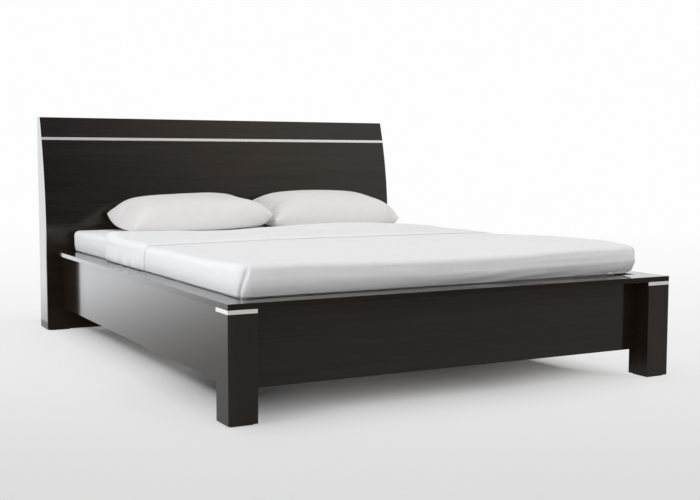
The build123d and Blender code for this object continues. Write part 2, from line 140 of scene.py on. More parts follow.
class Nodes:
    """A node tree. node() adds a node, sets or links its inputs and gives one of its outputs."""

    def __init__(self, tree):
        self.tree = tree

    def fill(self, node, inputs):
        for key, value in inputs.items():
            socket = node.inputs[SOCKET_NAMES.get(key, key)]
            if isinstance(value, bpy.types.NodeSocket):
                self.tree.links.new(value, socket)
            else:
                socket.default_value = value

    def node(self, kind, inputs=None, out=0, **settings):
        node = self.tree.nodes.new("ShaderNode" + kind)
        for key, value in settings.items():
            setattr(node, key, value)
        self.fill(node, inputs or {})
        return node.outputs[out]

    def range(self, value, low, high, start=0.0, end=1.0, **settings):
        return self.node("MapRange", {"Value": value, "From Min": start, "From Max": end,
                                      "To Min": low, "To Max": high}, **settings)

    def maths(self, operation, a, b=0.0):
        return self.node("Math", {0: a, 1: b}, operation=operation)

    def weighted(self, first, share, second, other_share):
        """Sum of two values, each times its share."""
        return self.maths("ADD", self.maths("MULTIPLY", first, share),
                          self.maths("MULTIPLY", second, other_share))

    def part(self, vector, axis):
        return self.node("SeparateXYZ", {"Vector": vector}, out=axis)

    def ramp(self, factor, *stops):
        node = self.tree.nodes.new("ShaderNodeValToRGB")
        elements = node.color_ramp.elements
        while len(elements) < len(stops):
            elements.new(0.5)
        for element, (at, colour) in zip(elements, stops):
            element.position = at
            element.color = (*colour, 1)
        self.tree.links.new(factor, node.inputs[0])
        return node.outputs[0]

    def grey_ramp(self, factor, stops):
        return self.ramp(factor, *[(at, (tone,) * 3) for at, tone in stops])

    def end_with(self, shader, output):
        self.tree.links.new(shader, self.tree.nodes[output].inputs["Surface"])


class Finish(Nodes):
    """A node material round one principled shader."""

    def __init__(self, name, **shader):
        self.material = bpy.data.materials.new(name)
        self.material.use_nodes = True
        super().__init__(self.material.node_tree)
        self.shader = self.tree.nodes["Principled BSDF"]
        self.place = self.node("TexCoord", out="Object")
        self.set(**shader)

    def set(self, **shader):
        self.fill(self.shader, {key.replace("_", " ").title(): value for key, value in shader.items()})

    def stretched(self, scale):
        return self.node("Mapping", {"Vector": self.place, "Scale": scale})

    def along(self, axis, scale):
        """The place, with one axis drawn out to make grain along it."""
        return self.stretched(tuple(scale if i == axis else 1.0 for i in range(3)))

    def noise(self, vector, scale, detail=3.0, roughness=0.5, distortion=0.0):
        return self.node("TexNoise", {"Vector": vector, "Scale": scale, "Detail": detail,
                                      "Roughness": roughness, "Distortion": distortion})

    def bump(self, height, distance, strength=1.0, under=None):
        inputs = {"Height": height, "Distance": distance, "Strength": strength}
        if under is not None:
            inputs["Normal"] = under
        return self.node("Bump", inputs)

    def done(self, **shader):
        self.set(**shader)
        return self.material


WOOD_GRAIN = 0.045   # how far wood grain is drawn out
METAL_LINES = 0.012
VENEER_COLOURS = ((0.3, (0.0100, 0.0066, 0.0040)), (0.5, (0.0150, 0.0102, 0.0064)),
                  (0.72, (0.0235, 0.0162, 0.0104)))
SHADING_COAT, COAT_RISE = 0.25, 0.12   # coat low on a board, thinned as a painted shade that darkens what it mirrors there, and the height over which it grows to 1


def dark_veneer(name, axis, specular=0.0, coat_ior=1.29, roughness=(0.4, 0.6), shaded_below=None,
                coat_roughness=(0.08, 0.13)):
    """Espresso-stained veneer under satin lacquer, its grain along one axis."""
    f = Finish(name, specular_level=specular, coat_weight=1.0, coat_ior=coat_ior)
    # Painted shade: below the given height the lacquer is thinned, so the lower part of the board mirrors
    # less of the bright floor
    if shaded_below is not None:
        height = f.part(f.place, "Z")
        f.set(coat_weight=f.range(height, SHADING_COAT, 1.0, shaded_below, shaded_below + COAT_RISE))
    board = f.along(axis, WOOD_GRAIN)
    figure = f.noise(board, 22.0, detail=5.0, roughness=0.62, distortion=0.6)
    streak = f.noise(board, 150.0, roughness=0.6)
    pores = f.noise(board, 620.0, detail=2.0, roughness=0.7)
    colour = f.ramp(f.weighted(figure, 0.62, streak, 0.38), *VENEER_COLOURS)
    dip = f.range(pores, 0.0, 1.0, start=0.36, end=0.5)
    peel = f.noise(f.place, 240.0, detail=1.0)
    flow = f.bump(peel, distance=0.000004)
    relief = f.bump(dip, distance=0.00012, strength=0.5, under=flow)
    return f.done(base_color=colour, roughness=f.range(streak, *roughness), normal=relief,
                  coat_normal=flow, coat_roughness=f.range(figure, *coat_roughness))


def plain_wood(name, axis, dark, mid, light, roughness, bands=14.0):
    """Bare, oiled or stained wood, with growth rings seen along the board."""
    f = Finish(name, specular_level=0.4)
    board = f.along(axis, WOOD_GRAIN)
    rings = f.node("TexWave", {"Vector": board, "Scale": bands, "Distortion": 7.0, "Detail": 3.0,
                               "Detail Scale": 1.4}, out="Fac", bands_direction="YZX"[axis])
    fleck = f.noise(board, 260.0, roughness=0.6)
    colour = f.ramp(f.weighted(rings, 0.5, fleck, 0.5), (0.2, dark), (0.52, mid), (0.8, light))
    return f.done(base_color=colour, roughness=f.range(fleck, roughness, roughness + 0.18),
                  normal=f.bump(fleck, distance=0.0002, strength=0.6))


def fibre_board(name):
    """Painted hardboard: fine pressed fibres under a thin dark coat."""
    f = Finish(name, specular_level=0.35)
    fibres = f.noise(f.place, 420.0, detail=4.0, roughness=0.7, distortion=0.8)
    cloud = f.noise(f.place, 9.0)
    colour = f.ramp(f.weighted(fibres, 0.45, cloud, 0.55), (0.3, (0.0085, 0.0068, 0.0058)),
                    (0.7, (0.017, 0.0135, 0.0112)))
    return f.done(base_color=colour, roughness=f.range(fibres, 0.5, 0.72),
                  normal=f.bump(fibres, distance=0.00015, strength=0.6))


def brushed_metal(name, axis, colour, shade, roughness, metallic=1.0):
    """Metal drawn along one axis, with the fine lines that leaves."""
    f = Finish(name, metallic=metallic, specular_level=0.3)
    lines = f.noise(f.along(axis, METAL_LINES), 900.0, detail=2.0, roughness=0.6)
    cloud = f.noise(f.place, 30.0, detail=2.0)
    tone = f.weighted(lines, 0.7, cloud, 0.3)
    return f.done(base_color=f.ramp(tone, (0.3, shade), (0.7, colour)),
                  roughness=f.range(lines, roughness, roughness + 0.12),
                  normal=f.bump(lines, distance=0.00004, strength=0.5))


def speckled(name, colour, shade, roughness, grain, depth, metallic=0.0):
    """Moulded plastic, powder paint or plated metal: a fine even grain."""
    f = Finish(name, metallic=metallic, specular_level=0.45)
    fine = f.noise(f.place, grain, roughness=0.6)
    cloud = f.noise(f.place, 24.0)
    tone = f.weighted(fine, 0.5, cloud, 0.5)
    return f.done(base_color=f.ramp(tone, (0.3, shade), (0.7, colour)),
                  roughness=f.range(fine, roughness, roughness + 0.15),
                  normal=f.bump(fine, depth, strength=0.7))


def woven(name, light, dark, thread=0.0009, crease=0.0006):
    """Plain-weave cotton: crossing threads, slubs in the yarn and soft creases."""
    f = Finish(name, specular_level=0.25, sheen_weight=0.12, sheen_roughness=0.45)
    waves = [f.node("TexWave", {"Vector": f.place, "Scale": 0.32 / thread, "Distortion": 0.6,
                                "Detail": 1.0}, out="Fac", bands_direction=axis) for axis in "XYZ"]
    weave = f.maths("ADD", f.maths("MULTIPLY", waves[0], waves[1]), f.maths("MULTIPLY", waves[2], 0.5))
    slub = f.noise(f.stretched((1.0, 1.0, 0.25)), 160.0, roughness=0.65)
    crumple = f.noise(f.place, 26.0, detail=5.0, roughness=0.55, distortion=0.8)
    # The tone follows the yarn's slubs and the crease relief; the darkening in the hollows of the creases
    # is painted shade
    colour = f.ramp(f.weighted(slub, 0.4, crumple, 0.6), (0.25, dark), (0.75, light))
    soft = f.bump(crumple, crease, strength=0.6)
    relief = f.bump(weave, distance=0.00006, strength=0.35, under=soft)
    return f.done(base_color=colour, roughness=f.range(slub, 0.82, 0.95), normal=relief)


def by_axis(make, name, *values):
    """The same finish with its grain along X, Y and Z."""
    return [make(name + "_" + letter, axis, *values) for axis, letter in enumerate("xyz")]


LEDGE_VENEER = [dark_veneer("ledge_veneer_x", 0, 0.04, 1.12, (0.04, 0.07), coat_roughness=(0.03, 0.05)),
                dark_veneer("ledge_veneer_y", 1, 0.04, 1.12, (0.10, 0.16))]
FINISHES = {
    "dark_veneer": by_axis(dark_veneer, "dark_veneer"),
    "back_board": fibre_board("back_board_paint"),
    "pale_metal_inlay": by_axis(brushed_metal, "inlay", (0.83, 0.825, 0.81), (0.77, 0.765, 0.75),
                                0.26, 0.7),
    "softwood": by_axis(plain_wood, "softwood", (0.42, 0.26, 0.13), (0.60, 0.42, 0.24),
                        (0.70, 0.53, 0.33), 0.55),
    "beech": by_axis(plain_wood, "beech", (0.47, 0.29, 0.155), (0.60, 0.41, 0.24),
                     (0.67, 0.48, 0.30), 0.38, 30.0),
    "black_steel": speckled("black_powder_paint", (0.022, 0.022, 0.024), (0.014, 0.014, 0.015), 0.42,
                            1500.0, 0.0001),
    "zinc_steel": speckled("zinc_plate", (0.64, 0.65, 0.67), (0.47, 0.48, 0.50), 0.26, 500.0, 0.00003,
                           metallic=1.0),
    "brass_insert": speckled("brass", (0.72, 0.52, 0.24), (0.56, 0.38, 0.16), 0.28, 500.0, 0.00003,
                             metallic=1.0),
    "black_plastic": speckled("black_moulded_plastic", (0.020, 0.020, 0.021), (0.012, 0.012, 0.0125),
                              0.5, 1100.0, 0.00012),
}
NODE_FINISHES = {
    "headboard_inlay_batten": plain_wood("stained_batten", 0, (0.0095, 0.0065, 0.0042),
                                         (0.0145, 0.0100, 0.0064), (0.0210, 0.0146, 0.0094), 0.5),
    # The headboard face's lacquer thins below 0.36 m: painted shade on its lower part
    "headboard_front": dark_veneer("headboard_face_veneer", 0, coat_ior=1.42, shaded_below=0.36),
    # Painted shade: the foot legs' inlay is a darker, less metallic copy of the pale inlay metal
    "foot_inlay": brushed_metal("foot_inlay", 0, (0.68, 0.675, 0.655), (0.61, 0.605, 0.585), 0.3, 0.25),
}
SHEET_CLOTH = woven("sheet_cotton", (0.87, 0.87, 0.88), (0.81, 0.81, 0.825))
PILLOW_CLOTH = woven("pillowcase_cotton", (0.785, 0.765, 0.755), (0.73, 0.71, 0.70))
TICKING = woven("mattress_ticking", (0.76, 0.75, 0.72), (0.66, 0.65, 0.62), 0.0016, 0.001)

SOFT_NODES = ("mattress", "fitted_sheet", "top_sheet", "pillow_left", "pillow_right")
UPRIGHT_NODES = ("headboard_gable", "headboard_post", "foot_leg")


def finish_for(node_name, cad_finish):
    for start, finish in NODE_FINISHES.items():
        if node_name.startswith(start):
            return finish
    finish = LEDGE_VENEER if "_ledge" in node_name else FINISHES[cad_finish]
    if not isinstance(finish, list):
        return finish
    if node_name.startswith("slats"):
        return finish[0]
    if node_name.startswith(UPRIGHT_NODES):
        return finish[2]
    low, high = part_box(node_name)
    return finish[int(np.argmax(high - low))]


for node_name, node in nodes.items():
    if node_name not in SOFT_NODES:
        node.data.materials[0] = finish_for(node_name, node.data.materials[0].name)


# Bedding: rounded-box skins that stand for the mattress and its sheets

CROWN = 0.008
MATTRESS_LOW, MATTRESS_HIGH = (np.array(corner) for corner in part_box("mattress"))
MATTRESS_HIGH[2] -= CROWN
X_LOW, Y_LOW, Z_LOW = MATTRESS_LOW
X_HIGH, Y_HIGH, Z_HIGH = MATTRESS_HIGH
CENTRE, HALF = (MATTRESS_LOW + MATTRESS_HIGH) / 2, (MATTRESS_HIGH - MATTRESS_LOW) / 2
LEDGE_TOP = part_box("foot_ledge")[1][2]
PLAN_CORNER = 0.036
SIDE_ROLL, FOOT_ROLL = 0.020, 0.012   # radii of the top and bottom edges
LINE_SAG, SAG_SCALE, SAG_SEED = 0.0012, 17, 61   # how the line along the ledges wavers
LEFT_LINE, RIGHT_LINE = (0.0, 0.0025), (0.0004, 0.0034)   # heights over the ledges of that line
FOOT_LINE = (-0.0006, 0.0024)
LEFT_BULGE, RIGHT_BULGE = (0.000, 0.010), (0.021, 0.014)   # above the ledges, at the foot and the head
LEFT_BULGE_REACH = (0.73, 0.99)   # share of the length over which the left bulge grows
FOOT_BULGE = 0.020
FOOT_BULGE_REACH = (0.8, 1.0)   # share of the half length
SIDE_SQUEEZE, FOOT_SQUEEZE = 0.016, 0.022   # drawn in between the ledges
BELLY = 0.05   # height over which the sides round in towards the ledges
LEFT_INWARD, RIGHT_INWARD, FOOT_INWARD = 0.006, 0.014, 0.022
FOOT_INWARD_REACH = (-0.6, 0.2)   # where the foot's rounding grows from half to all of it
RIGHT_LIFT = 0.003   # how much the right edge rises
RIGHT_LIFT_STEPS = ((0.017, 0.1, 0.7), (-0.013, 0.85, 1.03))   # and what stretches of -Y add to that
FOOT_LIFT = (0.010, 0.005)   # how much the foot edge rises towards its left and its right end
FOOT_LIFT_ENDS, FOOT_LIFT_REACH = (0.1, 0.95), (0.72, 1.0)   # shares of the half width and half length
TINY = 1e-6


def box_skin(xs, ys, zs, keep):
    """Lattice points on the faces of a box, the quads that keep(face, middle) takes, and an index."""
    index, points, quads = {}, [], []

    def corner(*ijk):
        if ijk not in index:
            index[ijk] = len(points)
            points.append((xs[ijk[0]], ys[ijk[1]], zs[ijk[2]]))
        return index[ijk]

    ni, nj, nk = len(xs) - 1, len(ys) - 1, len(zs) - 1
    plans = {"bottom": (0, 1, 2, 0, True), "top": (0, 1, 2, nk, False),
             "left": (1, 2, 0, 0, True), "right": (1, 2, 0, ni, False),
             "foot": (2, 0, 1, 0, True), "head": (2, 0, 1, nj, False)}
    lines, counts = (xs, ys, zs), (ni, nj, nk)
    for face, (first, second, fixed, level, turned) in plans.items():
        for a in range(counts[first]):
            for b in range(counts[second]):
                middle = [0.0] * 3
                middle[first] = (lines[first][a] + lines[first][a + 1]) / 2
                middle[second] = (lines[second][b] + lines[second][b + 1]) / 2
                middle[fixed] = lines[fixed][level]
                if not keep(face, middle):
                    continue
                ring = []
                for da, db in ((0, 0), (1, 0), (1, 1), (0, 1)):
                    ijk = [0] * 3
                    ijk[first], ijk[second], ijk[fixed] = a + da, b + db, level
                    ring.append(corner(*ijk))
                quads.append(tuple(reversed(ring)) if turned else tuple(ring))
    return np.array(points), quads, index


class Skin:
    """Places of box lattice points on the rounded mattress, with their outward directions."""

    def __init__(self, lattice):
        self.lattice = lattice
        self.offset = lattice - CENTRE
        self.on_left = self.offset[:, 0] < 0
        self.to_foot = -self.offset[:, 1] / HALF[1]
        self.turn_corners()
        self.roll_edges()
        self.settle()
        self.points = np.column_stack([self.plan + CENTRE[:2], self.height])
        up = np.where(self.upper, 1.0, -1.0) * np.cos(self.angle)
        self.normals = np.column_stack([self.aim * np.sin(self.angle)[:, None], up])

    def turn_corners(self):
        """Round the corners of the plan. turn is 0 on the long sides and a quarter turn at the ends."""
        offset = self.offset[:, :2]
        sign = np.where(offset < 0, -1.0, 1.0)
        near = np.clip(HALF[:2] - np.abs(offset), 0, None)
        share = np.clip(1 - near / PLAN_CORNER, 0, 1)
        in_corner = (share > 0).all(1)
        big, small = share.max(1), share.min(1)
        sweep = np.pi / 4 * small / np.maximum(big, TINY)
        turn = np.where(share[:, 0] >= share[:, 1], sweep, np.pi / 2 - sweep)
        turn = np.where(in_corner, turn, np.where(near[:, 0] <= near[:, 1], 0.0, np.pi / 2))
        aim = np.stack([np.cos(turn), np.sin(turn)], 1)
        rounded = HALF[:2] - PLAN_CORNER + PLAN_CORNER * big[:, None] * aim
        self.inset = near.min(1)
        self.turn = turn
        self.aim = aim * sign
        self.plan = np.where(in_corner[:, None], rounded, np.abs(offset)) * sign

    def roll_edges(self):
        """Round the top and bottom edges. angle is 0 on top and a quarter turn on the sides."""
        drop, rise = Z_HIGH - self.lattice[:, 2], self.lattice[:, 2] - Z_LOW
        self.upper = drop <= rise
        depth = np.where(self.upper, drop, rise)
        foot_share = np.where(self.to_foot > 0, np.sin(self.turn) ** 2, 0.0)
        roll = SIDE_ROLL + (FOOT_ROLL - SIDE_ROLL) * foot_share
        rolled = (self.inset < roll) & (depth < roll)
        flat = (self.inset >= roll) & (depth < TINY)
        quarter = np.pi / 4 * (1 + (depth - self.inset) / roll)
        self.angle = np.where(rolled, quarter, np.where(flat, 0.0, np.pi / 2))
        moved = np.where(rolled, self.inset - roll * (1 - np.sin(self.angle)), 0.0)
        self.plan = self.plan + self.aim * moved[:, None]
        depth = np.where(rolled, roll * (1 - np.cos(self.angle)), depth)
        self.height = np.where(self.upper, Z_HIGH - depth, Z_LOW + depth)
        self.on_top = self.upper & (flat | rolled)

    def settle(self):
        """Lay the rounded box between the ledges: drawn in below their tops, swelling out above."""
        across = self.offset[:, 0] / HALF[0]
        wave = perlin(np.column_stack([self.plan * SAG_SCALE, np.zeros(len(self.plan))]), SAG_SEED)
        sag = LINE_SAG * (1 + wave)
        over = self.height - LEDGE_TOP
        free = np.where(self.on_left, smooth_step(*LEFT_LINE, over - sag),
                        smooth_step(*RIGHT_LINE, over - sag))
        foot_free = smooth_step(*FOOT_LINE, over - sag / 2)
        inward = (1 - np.clip(over / BELLY, 0, 1)) ** 2

        crown = np.clip(1 - (self.offset[:, :2] / HALF[:2]) ** 2, 0, 1).prod(1)
        self.height = self.height + np.where(self.on_top, CROWN * crown, 0.0)
        right_lift = RIGHT_LIFT + sum(rise * smooth_step(start, end, -self.lattice[:, 1])
                                      for rise, start, end in RIGHT_LIFT_STEPS)
        self.height = self.height + free * right_lift * smooth_step(0.0, 1.0, across)
        to_end = smooth_step(*FOOT_LIFT_ENDS, np.abs(across))
        near_foot = smooth_step(*FOOT_LIFT_REACH, self.to_foot)
        foot_lift = np.where(self.on_left, *FOOT_LIFT) * to_end * near_foot
        raised = np.clip((self.height - LEDGE_TOP) / BELLY, 0, 1) * foot_lift
        self.height = self.height + np.where(self.upper, raised, 0.0)

        to_head = np.clip((self.lattice[:, 1] - Y_LOW) / (2 * HALF[1]), 0, 1)
        to_head = np.where(self.on_left, smooth_step(*LEFT_BULGE_REACH, to_head), to_head)
        at_foot, at_head = (np.where(self.on_left, *ends) for ends in zip(LEFT_BULGE, RIGHT_BULGE))
        bulge = at_foot + (at_head - at_foot) * to_head
        round_in = inward * np.where(self.on_left, LEFT_INWARD, RIGHT_INWARD)
        self.plan[:, 0] += (free * bulge - (1 - free) * SIDE_SQUEEZE - round_in) * across
        foot_round = (1 + smooth_step(*FOOT_INWARD_REACH, self.lattice[:, 0])) / 2
        pushed = foot_free * FOOT_BULGE - (1 - foot_free) * FOOT_SQUEEZE
        pushed = pushed - inward * FOOT_INWARD * foot_round
        self.plan[:, 1] -= pushed * smooth_step(*FOOT_BULGE_REACH, self.to_foot)

    def lifted(self, by):
        return self.points + self.normals * np.asarray(by)[:, None]


SIDE_ROWS = spaced(Z_LOW, 0.008, LEDGE_TOP - 0.007, 0.001, LEDGE_TOP + 0.006, 0.0042, Z_HIGH)
FOLD_Y = 0.39   # where the top sheet is turned down
HEM_Y = -0.105   # where its turned-down hem lies


# Mattress: quilted top and bottom, taped edges, a plain border

TICKING_INSET = 0.004   # room for the sheets
QUILT, QUILT_DEPTH, QUILT_SOFTNESS = 0.16, 0.0065, 0.4
TAPE_HEIGHT, TAPE_SPREAD = 0.0025, 0.13
SEAM_DEPTH, SEAM_SPREAD = 0.0025, 0.006
MATTRESS_GRID = (0.054, 0.006, 0.02)   # band along the edges, its step, and the step between


def quilted_mattress():
    lattice, quads, _ = box_skin(fine_at_ends(X_LOW, X_HIGH, *MATTRESS_GRID),
                                 fine_at_ends(Y_LOW, Y_HIGH, *MATTRESS_GRID),
                                 SIDE_ROWS, lambda face, middle: True)
    skin = Skin(lattice)
    diagonals = [(lattice[:, 0] + way * lattice[:, 1]) / QUILT for way in (-1, 1)]
    tuft = np.minimum(*[np.abs(np.sin(np.pi * d)) for d in diagonals])
    on_face = np.cos(skin.angle)
    quilted = -QUILT_DEPTH * (1 - smooth_step(0.0, QUILT_SOFTNESS, tuft)) * on_face ** 2
    tape = TAPE_HEIGHT * hump(skin.angle, np.pi / 4, TAPE_SPREAD)
    seam = -SEAM_DEPTH * (1 - on_face) * hump(lattice[:, 2], (Z_LOW + Z_HIGH) / 2, SEAM_SPREAD)
    points = skin.lifted(quilted + tape + seam - TICKING_INSET)
    return soft_piece("mattress_body", points, quads, TICKING, "mattress", "mattress")


mattress = quilted_mattress()


# Fitted sheet: stretched over the mattress and gathered by elastic underneath

UNDER = 0.11   # width of its turn-under
FITTED_LIFT = 0.0012
GATHER_DEPTH, GATHER_PITCH, GATHER_REACH = 0.0022, 0.021, (0.03, 0.09)
HALF_TURN = 0.7   # the aim's X where an end meets a side
TOP_CREASES, SIDE_CREASES = 0.35, (0.35, 1.0)   # share left on top, and the slopes where more sets in
FITTED_GRID = (0.12, 0.007, 0.02)
PILLOW_END, PILLOW_STEP = 0.4, 0.008   # finer where the top sheet leaves it bare


def stretched_sheet():
    def keep(face, m):
        inner = X_LOW + UNDER <= m[0] <= X_HIGH - UNDER and Y_LOW + UNDER <= m[1] <= Y_HIGH - UNDER
        return face != "bottom" or not inner

    band, fine, coarse = FITTED_GRID
    ys = spaced(Y_LOW, fine, Y_LOW + band, coarse, PILLOW_END, PILLOW_STEP, Y_HIGH)
    lattice, quads, _ = box_skin(fine_at_ends(X_LOW, X_HIGH, *FITTED_GRID), ys, SIDE_ROWS, keep)
    skin = Skin(lattice)
    edge_in = np.minimum(lattice - MATTRESS_LOW, MATTRESS_HIGH - lattice)[:, :2].min(1)
    below = lattice[:, 2] < Z_LOW + TINY
    along = np.where(np.abs(skin.aim[:, 0]) > HALF_TURN, lattice[:, 1], lattice[:, 0])
    wander = crease(lattice, depth=2, scale=9, seed=3)
    gather = GATHER_DEPTH * np.sin(along * 2 * np.pi / GATHER_PITCH + wander)
    creases = (crease(lattice, depth=0.0009, scale=(16, 10, 30), seed=5)
               + crease(lattice, depth=0.0006, scale=40, seed=6))
    on_side = smooth_step(*SIDE_CREASES, np.sin(skin.angle))
    lift = FITTED_LIFT + creases * (TOP_CREASES + on_side)
    lift = lift + np.where(below, gather * smooth_step(*GATHER_REACH, edge_in), 0)
    return soft_piece("fitted_sheet_cloth", skin.lifted(lift), quads, SHEET_CLOTH, "mattress",
                      "fitted_sheet")


fitted_sheet = stretched_sheet()


# Top sheet: tucked in round three sides, turned down near the pillows, mitred at the foot corners

TUCK = 0.125
TOP_GRID = (0.075, 0.0035, 0.012)
LENGTH_STEP, TURNED_STEP = 0.009, 0.0055
TOP_LIFT, LEAST_LIFT = 0.0035, 0.002
CREASE_SEED = 20
FOLD_SEED = 31
PLEAT_DEPTH, PLEAT_SPREAD, PLEAT_HEIGHT = 0.012, 0.28, (0.006, 0.055)
LOW_CREASES = (LEDGE_TOP - 0.01, Z_HIGH - 0.02)   # heights over which the hanging creases fade out
PLEATED_END = (-0.14, 0.05)   # along the bed, where the sides' pleats set in
SIDE_GATHER, SIDE_SLACK, FOLD_SLACK, PLEAT_LEVEL = 0.0010, 0.0012, 0.003, 0.4
LONG_FOLD_DEPTH, LONG_FOLD_PITCH, LONG_FOLD_SLOPE = 0.0040, 62, 0.05
LONG_FOLD_PART, LONG_FOLD_ABOVE = (-0.25, 0.25), 0.2   # across the foot, and the share left at the top
LEFT_RIPPLE, RIPPLE_GROWTH, RIPPLE_PART = 0.0005, 0.0008, (-0.3, 0.2)
CORNER_GATHER, CORNER_PITCH, CORNER_AT, CORNER_SPREAD = 0.0022, 0.017, 0.09, 0.05
SIDE_BULGE = 0.005
MITRE_EDGE, MITRE_SLANT = 0.6, 0.6   # turn of the mitre's edge at the ledge, and what the height adds
MITRE_GROOVE, MITRE_SPREAD = 0.006, 0.12
MITRE_TOP, MITRE_LENGTH = (Z_HIGH + 0.012, Z_HIGH - 0.03), 0.2   # heights where it sets in, downwards
FLAP_LIFT, FLAP_REACH, FLAP_TURN = 0.0045, 0.09, (0.02, 0.3)
FOLD_PUFF, FOLD_SPREAD = 0.012, 0.10
FOLD_SWELLS = ((0.008, -0.8, 0.14), (-0.009, -0.28, 0.22), (0.010, 0.28, 0.28),
               (-0.008, 0.85, 0.2))   # rise, place across the bed and spread of each
HEM_LOFT, LOFT_REACH = 0.007, 0.05   # how far the turned-down layer stands off, and from where on
RIGHT_LOSS, RIGHT_LOSS_PART = 0.8, (0.45, 0.8)   # share of that lost towards the right edge
HEM_GAP, GAP_GROWTH, GAP_REACH, SIDE_GAP = 0.0009, 0.0007, 0.03, 0.0003   # least gap between the layers
WAVE_REACH = 0.1
LEDGE_ROOM, LEAST_ROOM = 0.02, 0.1   # height in which the narrow gap beside the ledge flattens the layer
SIDE_SHARE = 0.25   # share of the puff left on the sides
FOLD_STEPS = 6


def tucked(face, m):
    near_edge = m[0] < X_LOW + TUCK or m[0] > X_HIGH - TUCK or m[1] < Y_LOW + TUCK
    return face in ("top", "left", "right", "foot") or face == "bottom" and near_edge


def turned_down(face, m):
    near_side = m[0] <= X_LOW + TUCK or m[0] >= X_HIGH - TUCK
    return face in ("top", "left", "right") or face == "bottom" and near_side and tucked(face, m)


def cloth_relief(skin, seed):
    """Creases of a tucked sheet: soft swells on top, gathers down the sides, long folds at the foot."""
    p = skin.lattice
    x, y, z = p.T
    sideways = np.abs(skin.aim[:, 0]) > np.abs(skin.aim[:, 1])
    on_top = np.cos(skin.angle) * skin.upper
    side = np.where(sideways, np.sin(skin.angle), 0.0)
    foot = np.where(sideways, 0.0, np.sin(skin.angle))
    low = 1 - smooth_step(*LOW_CREASES, z)

    swell = (crease(p, depth=0.0016, scale=(3.2, 2.6, 3), seed=seed)
             + crease(p, depth=0.0007, scale=(9, 7, 9), seed=seed + 1))
    pull = crease(p, depth=0.0009, scale=(4, 26, 7), seed=seed + 2)

    wander = crease(p, depth=0.35, scale=(5, 5, 14), seed=seed + 3)
    gathers = perlin(np.column_stack([y * 34 + wander, z * 4, x * 2]), seed + 4)
    pleats = np.abs(perlin(np.column_stack([y * 17 + wander, z * 2.5, x]), seed + 5))
    near_fold = smooth_step(*PLEATED_END, y)
    at_hem = 1 - smooth_step(*PLEAT_HEIGHT, z - LEDGE_TOP)
    pinched = PLEAT_DEPTH * near_fold * at_hem * (1 - np.exp(-(pleats / PLEAT_SPREAD) ** 2))
    slack = low * (FOLD_SLACK * near_fold + SIDE_SLACK) * (PLEAT_LEVEL - pleats)
    on_sides = SIDE_GATHER * gathers + slack + pinched

    bend = crease(p, depth=1.2, scale=(2.4, 1, 5), seed=seed + 6)
    slanted = (z - LONG_FOLD_SLOPE * x) * LONG_FOLD_PITCH + bend
    folds = perlin(np.column_stack([x * 3.4, slanted, y]), seed + 7)
    long_folds = LONG_FOLD_DEPTH * folds * smooth_step(*LONG_FOLD_PART, x) * (LONG_FOLD_ABOVE + low)
    ripple = LEFT_RIPPLE + RIPPLE_GROWTH * smooth_step(*RIPPLE_PART, x)
    faint = (crease(p, depth=0.0009, scale=(12, 12, 30), seed=seed + 8)
             + crease(p, depth=ripple, scale=(4, 12, 64), seed=seed + 9))
    corner = hump(x, X_HIGH - CORNER_AT, CORNER_SPREAD) * low
    corner_gathers = CORNER_GATHER * np.sin(x * 2 * np.pi / CORNER_PITCH) * corner

    height = np.clip((z - Z_LOW) / (Z_HIGH - Z_LOW), 0, 1)
    bulge = SIDE_BULGE * np.sin(np.pi * height) * np.sin(skin.angle)
    at_foot = long_folds + faint + corner_gathers
    return on_top * (swell + pull) + side * on_sides + foot * at_foot + bulge


def foot_mitre(skin):
    """The folded edge down each foot corner: a groove, then the foot flap lying over the side."""
    x, y, z = skin.lattice.T
    height = smooth_step(*MITRE_TOP, z) * np.sin(skin.angle)
    edge = MITRE_EDGE + MITRE_SLANT * smooth_step(LEDGE_TOP, Z_HIGH, z)
    groove = -MITRE_GROOVE * hump(skin.turn, edge, MITRE_SPREAD)
    flap = FLAP_LIFT * smooth_step(*FLAP_TURN, skin.turn - edge)
    beyond = np.clip(np.minimum(x - X_LOW, X_HIGH - x) - PLAN_CORNER, 0, None)
    flap = flap * np.exp(-(beyond / FLAP_REACH) ** 2)
    return np.where(y < Y_LOW + MITRE_LENGTH, height * (groove + flap), 0.0)


def turned_lift(skin):
    """How far the turned-down layer stands off: close at its hem, puffed up at the fold."""
    x, y, _ = skin.lattice.T
    from_fold, from_hem = FOLD_Y - y, y - HEM_Y
    loft = HEM_LOFT * smooth_step(0.0, LOFT_REACH, from_hem)
    loft = loft * (1 - RIGHT_LOSS * smooth_step(*RIGHT_LOSS_PART, x))
    swell = sum(rise * hump(x, at, reach) for rise, at, reach in FOLD_SWELLS)
    puff = (FOLD_PUFF + swell) * np.exp(-(from_fold / FOLD_SPREAD) ** 2)
    wave = crease(skin.lattice, depth=0.002, scale=(2.2, 3, 2), seed=FOLD_SEED)
    wave = wave * smooth_step(0, WAVE_REACH, from_fold) * smooth_step(0.0, WAVE_REACH, from_hem)
    over_ledge = smooth_step(0.0, LEDGE_ROOM, skin.points[:, 2] - LEDGE_TOP)
    beside_ledge = LEAST_ROOM + (1 - LEAST_ROOM) * over_ledge
    on_top = SIDE_SHARE + (1 - SIDE_SHARE) * np.cos(skin.angle)
    gap = HEM_GAP + GAP_GROWTH * smooth_step(0.0, GAP_REACH, from_hem) + SIDE_GAP * np.sin(skin.angle)
    lower = np.maximum(TOP_LIFT + cloth_relief(skin, CREASE_SEED), LEAST_LIFT)
    return lower + gap + (loft + puff + wave) * beside_ledge * on_top


def round_fold(start, end):
    """Points on the half circle that joins the two layers at the fold."""
    middle, arm = (start + end) / 2, (end - start) / 2
    reach = np.linalg.norm(arm)
    points = []
    for step in range(1, FOLD_STEPS):
        swing = math.pi * step / FOLD_STEPS
        points.append(middle - arm * math.cos(swing) + np.array([0, reach * math.sin(swing), 0]))
    return points


